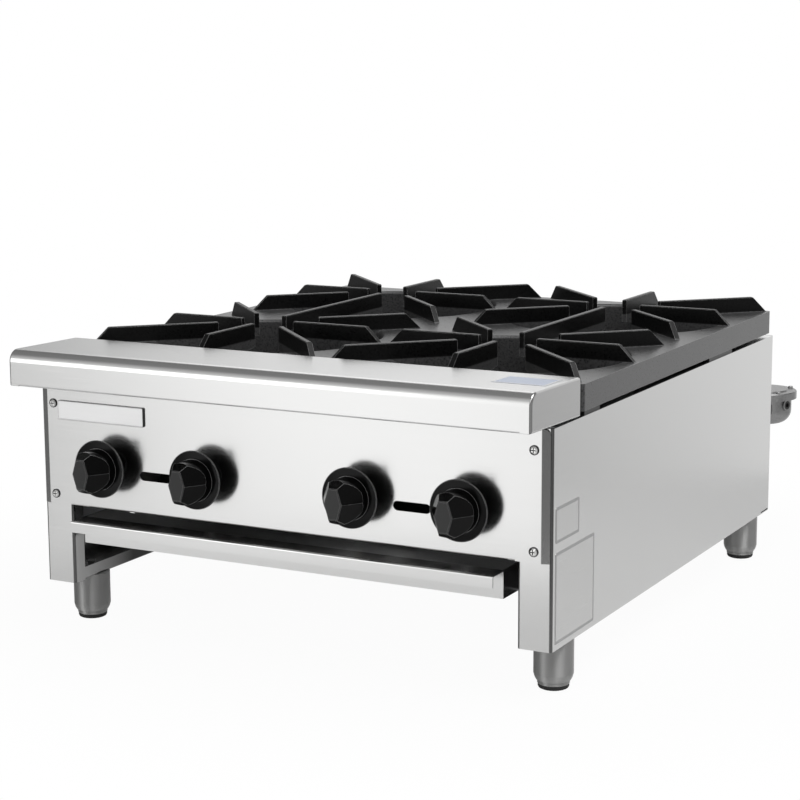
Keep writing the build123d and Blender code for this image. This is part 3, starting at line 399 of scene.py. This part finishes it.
def cast(name, color, roughness, metallic=0.0):
    """Casting with a sandy skin."""
    material, tree, surface = new_material(name, color, metallic, roughness)
    sand = add_noise(tree, 500, 4.0)
    vary_roughness(tree, sand, surface, roughness - 0.06, roughness + 0.08)
    tint(tree, sand, surface, color, 0.7, 1.4)
    add_bump(tree, sand, surface, 0.5, 0.00012)
    return material


def machined(name, color, roughness, metallic=1.0):
    """Turned or drawn metal with faint rings and cloudy wear."""
    material, tree, surface = new_material(name, color, metallic, roughness)
    cloud = add_noise(tree, 220, 3.0, (1, 1, 0.12))
    vary_roughness(tree, cloud, surface, roughness - 0.06, roughness + 0.08)
    tint(tree, cloud, surface, color, 0.88, 1.08)
    add_bump(tree, cloud, surface, 0.08, 0.0001)
    return material


def moulded(name, color, roughness):
    """Moulded plastic or rubber with a fine skin."""
    material, tree, surface = new_material(name, color, 0.0, roughness)
    skin = add_noise(tree, 1500, 2.0)
    vary_roughness(tree, skin, surface, roughness - 0.04, roughness + 0.06)
    add_bump(tree, skin, surface, 0.1, 0.00005)
    return material


# Painted highlight: a pale colour along the convex edges of the knobs and the cast top
PAINTED_EDGE_HIGHLIGHT = grey(0.3)
KNOB_BLACK = (0.0025, 0.0025, 0.0025)
# Painted reflection: the knob's front facet is coloured lighter than its black
KNOB_FACET_PAINTED_REFLECTION = grey(0.045)
# Where the knob's front facet starts, before the body's front; from there its colour is lightened
# as a painted reflection
KNOB_FACET_DEPTHS = (0.0558, 0.0566)


def knob_finish(name):
    """Glossy black knob: painted highlights along its thin edges and a painted reflection that
    lightens its front facet.
    """
    material = moulded(name, KNOB_BLACK, 0.14)
    tree = material.node_tree
    surface = tree.nodes["Principled BSDF"]
    facet = along_depth(tree, *[BODY_FRONT - depth for depth in KNOB_FACET_DEPTHS])
    edge = edge_highlight_mask(tree, 0.0009)
    paint = add_mix(tree, facet, (*KNOB_BLACK, 1), KNOB_FACET_PAINTED_REFLECTION)
    tree.links.new(add_mix(tree, edge, paint, PAINTED_EDGE_HIGHLIGHT), surface.inputs["Base Color"])
    shine = add_mix(tree, edge, 0.14, 0.9, data_type="FLOAT")
    tree.links.new(shine, surface.inputs["Specular IOR Level"])
    return material


# Painted shade: the dark colour of the screw head's rim and slots, nearest the panel
SCREW_PAINTED_SHADE = grey(0.05)
# Where the screw's bright crown starts, before the control panel's front
SCREW_CROWN_DEPTHS = (0.00115, 0.0019)


def screw_finish(name):
    """Bright domed head, with painted shade darkening its rim and its slots."""
    material = machined(name, (0.8, 0.8, 0.79), 0.24)
    tree = material.node_tree
    color = tree.nodes["Principled BSDF"].inputs["Base Color"]
    crown = along_depth(tree, *[PANEL_FRONT - depth for depth in SCREW_CROWN_DEPTHS])
    tree.links.new(add_mix(tree, crown, SCREW_PAINTED_SHADE, color.links[0].from_socket), color)
    return material


# Painted light: the iron below the fins' feet is coloured lighter, standing in for the light it
# catches; the fins keep the iron's black
PLATE_PAINTED_LIGHT = (0.07, 0.07, 0.071, 1)
FIN_PAINT = grey(0.0045)
# Height over which the plate's paint turns into the fins'
PAINT_BORDER = 0.0015


def enamelled_iron(name):
    """Black cast top: plate, side band and wells coloured lighter than the blacker fins as painted
    light, and painted highlights on the edges.
    """
    material, tree, surface = new_material(name, (0.01, 0.01, 0.01), 0.0, 0.34)
    sand = add_noise(tree, 520, 4.0)
    vary_roughness(tree, sand, surface, 0.24, 0.42)
    add_bump(tree, sand, surface, 0.6, 0.00014)
    place = tree.nodes.new("ShaderNodeTexCoord").outputs["Object"]
    upper = add_fade(tree, add_split(tree, place)["Z"], PLATE_TOP, PLATE_TOP + PAINT_BORDER)
    facing = add_node(tree, "ShaderNodeLayerWeight", {"Blend": 0.5}).outputs["Facing"]
    plate_shine = add_fade(tree, facing, 0.3, 0.8, 0.5, 1.0)
    shine = add_mix(tree, upper, plate_shine, 0.2, data_type="FLOAT")
    tree.links.new(shine, surface.inputs["Specular IOR Level"])
    paint = add_mix(tree, upper, PLATE_PAINTED_LIGHT, FIN_PAINT)
    edged = add_mix(tree, edge_highlight_mask(tree, 0.0007), paint, PAINTED_EDGE_HIGHLIGHT)
    tree.links.new(edged, surface.inputs["Base Color"])
    darken(material, add_fade(tree, sand, 0.55, 0.4), 0.55)
    return material


LOOKS = {
    "sheet_x": brushed("brushed_across", "X"),
    "cap_sheet": brushed("brushed_cap", "X"),
    "sheet_y": brushed("brushed_lengthwise", "Y"),
    "plated": brushed("plated_sheet", "X", (0.6, 0.61, 0.62), 0.45),
    "iron": enamelled_iron("black_cast_iron"),
    "burner_iron": cast("grey_cast_iron", (0.05, 0.048, 0.045), 0.6),
    "alloy": cast("cast_alloy", (0.3, 0.3, 0.3), 0.36, 0.9),
    "pipe": machined("black_pipe", (0.04, 0.038, 0.036), 0.5, 0.4),
    "brass": machined("machined_brass", (0.72, 0.52, 0.24), 0.3),
    "bright": brushed("turned_steel", "Z", (0.56, 0.56, 0.555), 0.55, 1.0, True),
    "zinc": machined("zinc_fastener", (0.5, 0.5, 0.5), 0.3),
    "screw": screw_finish("screw_steel"),
    "dark_sheet": brushed("dark_strip", "Y", (0.08, 0.08, 0.08), 0.4),
    "tube": machined("soft_tube", (0.75, 0.75, 0.76), 0.35),
    "knob": knob_finish("knob_black"),
    "rubber": moulded("pad_rubber", (0.016, 0.016, 0.016), 0.65),
    "plug": moulded("plug_plastic", (0.02, 0.02, 0.02), 0.4),
}
# Depth from the front at which the side sheets' inner faces are wholly painted dark as shade
INSIDE_DEPTH = 0.11
# Painted dark reflection on the bends of the side sheets and the cap
painted_dark_bends(LOOKS["sheet_y"], 0.2)
painted_inside_shade(LOOKS["sheet_y"], BODY_FRONT, BODY_FRONT + INSIDE_DEPTH, 0.1)
painted_dark_bends(LOOKS["cap_sheet"], 0.55)
# Painted shade on the cap's ends
painted_shade_ends(LOOKS["cap_sheet"], 0.78)

NODE_LOOKS = {
    "left_side_panel": "sheet_y",
    "right_side_panel": "sheet_y",
    "rear_panel": "plated",
    "front_cap": "cap_sheet",
    "control_panel": "sheet_x",
    "drip_tray": "sheet_x",
    "top_grate": "iron",
    "grate_rests": "dark_sheet",
    "regulator_body": "alloy",
    "regulator_cover": "alloy",
    "regulator_plug": "plug",
    "pilot_tubes": "tube",
}
PREFIX_LOOKS = (
    ("knob_", "knob"),
    ("burner_head_", "burner_iron"),
    ("burner_rail_", "plated"),
    ("burner_", "burner_iron"),
    ("gas_valve_", "brass"),
    ("valve_stem_", "brass"),
    ("orifice_", "brass"),
    ("pilot_", "brass"),
    ("manifold_pipe", "pipe"),
    ("supply_", "pipe"),
    ("leg_shell_", "bright"),
    ("foot_insert_", "bright"),
    ("rubber_pad_", "rubber"),
    ("panel_screws", "screw"),
    ("regulator_screws", "zinc"),
    ("leg_bolts", "zinc"),
)


def look_of(node):
    """Name of the look that a CAD node gets."""
    if node in NODE_LOOKS:
        return NODE_LOOKS[node]
    for prefix, look in PREFIX_LOOKS:
        if node.startswith(prefix):
            return look
    return "plated"


for node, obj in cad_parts.items():
    for place in obj.material_slots:
        place.material = LOOKS[look_of(node)]


# Bare plate on the control panel and blank films on the side and the cap
CORNER_STEPS = 5
# A narrowed outline keeps at least this share of its corner
LEAST_CORNER = 0.3


def rounded_outline(half_u, half_v, corner):
    """Points round a rectangle with rounded corners."""
    points = []
    for quarter, (su, sv) in enumerate(((1, 1), (-1, 1), (-1, -1), (1, -1))):
        for step in range(CORNER_STEPS + 1):
            turn = radians(90 * (quarter + step / CORNER_STEPS))
            points.append((
                su * (half_u - corner) + corner * cos(turn),
                sv * (half_v - corner) + corner * sin(turn),
            ))
    return points


def layered_plate(name, origin, u, v, size, levels, corner, materials):
    """Thin plate: rings of (inset, height, material number), closed by a face at the last."""
    out = Vector(u).cross(Vector(v))
    rings = []
    for inset, height, _ in levels:
        rounding = max(corner - inset, corner * LEAST_CORNER)
        outline = rounded_outline(size[0] / 2 - inset, size[1] / 2 - inset, rounding)
        rings.append([
            Vector(origin) + a * Vector(u) + b * Vector(v) + height * out
            for a, b in outline
        ])
    count = len(rings[0])
    faces = []
    paints = []
    for ring, (_, _, paint) in enumerate(levels[1:]):
        low = ring * count
        high = low + count
        for i in range(count):
            j = (i + 1) % count
            faces.append((low + i, low + j, high + j, high + i))
            paints.append(paint)
    last = (len(rings) - 1) * count
    faces.append(tuple(range(last, last + count)))
    paints.append(levels[-1][2])
    mesh = bpy.data.meshes.new(name)
    mesh.from_pydata([point for ring in rings for point in ring], [], faces)
    for material in materials:
        mesh.materials.append(material)
    for face, paint in zip(mesh.polygons, paints):
        face.material_index = paint
    mesh.update()
    return collection_add(bpy.data.objects.new(name, mesh))


def film_levels(line_out, line_in):
    """Flat film with a thin darker line between two insets from its edge."""
    height = FILM_THICKNESS
    return ((0, 0, 0), (0, height, 0), (line_out, height, 1), (line_in, height, 0))


BADGE = brushed("badge_plate", "X", (0.74, 0.74, 0.74), 0.35)
BADGE_EDGE = moulded("badge_edge", (0.03, 0.03, 0.03), 0.4)
FILM = brushed("silver_film", "Y", (0.64, 0.64, 0.635), 0.24)
FILM_LINE = brushed("film_line", "Y", (0.4, 0.4, 0.4), 0.3)
PALE_FILM = moulded("pale_film", (0.42, 0.47, 0.58), 0.35)

# Badge's middle across and above the body's foot, its size, and the steps of its edge
BADGE_ACROSS = -0.22345
BADGE_UP = 0.1955
BADGE_SIZE = (0.1121, 0.021)
BADGE_CORNER = 0.0015
BADGE_LEVELS = (
    (0, 0, 1),
    (0, 0.0022, 1),
    (0.0004, 0.0026, 1),
    (0.0009, 0.0026, 0),
    (0.0012, 0.0023, 0),
)

FILM_THICKNESS = 0.0002
FILM_CORNER = 0.002
# Each side film: name, front and rear edges from the body's front, lower and upper edges
SIDE_FILMS = (
    ("upper_film", 0.0075, 0.066, 0.108, 0.144),
    ("lower_film", 0.0075, 0.106, 0.006, 0.0985),
)

# Cap film's middle on the cap's sloping top, its size, and the slope
CAP_FILM_ACROSS = 0.269
CAP_FILM_BACK = 0.017
CAP_FILM_UP = 0.26502
CAP_FILM_SIZE = (0.058, 0.043)
CAP_FALL = radians(1.155)

badge = layered_plate(
    "badge_plate",
    (BADGE_ACROSS, PANEL_FRONT, BODY_BOTTOM + BADGE_UP),
    (1, 0, 0),
    (0, 0, 1),
    BADGE_SIZE,
    BADGE_LEVELS,
    BADGE_CORNER,
    (BADGE, BADGE_EDGE),
)
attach(badge, "hot_plate")

for name, near, far, low, high in SIDE_FILMS:
    film = layered_plate(
        name,
        (BODY_RIGHT, BODY_FRONT + (near + far) / 2, BODY_BOTTOM + (low + high) / 2),
        (0, 1, 0),
        (0, 0, 1),
        (far - near, high - low),
        film_levels(0.003, 0.0034),
        FILM_CORNER,
        (FILM, FILM_LINE),
    )
    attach(film, "hot_plate")

sticker = layered_plate(
    "cap_film",
    (CAP_FILM_ACROSS, BODY_FRONT + CAP_FILM_BACK, BODY_BOTTOM + CAP_FILM_UP),
    (1, 0, 0),
    (0, cos(CAP_FALL), -sin(CAP_FALL)),
    CAP_FILM_SIZE,
    film_levels(0.0025, 0.0029),
    FILM_CORNER,
    (PALE_FILM, FILM),
)
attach(sticker, "hot_plate")
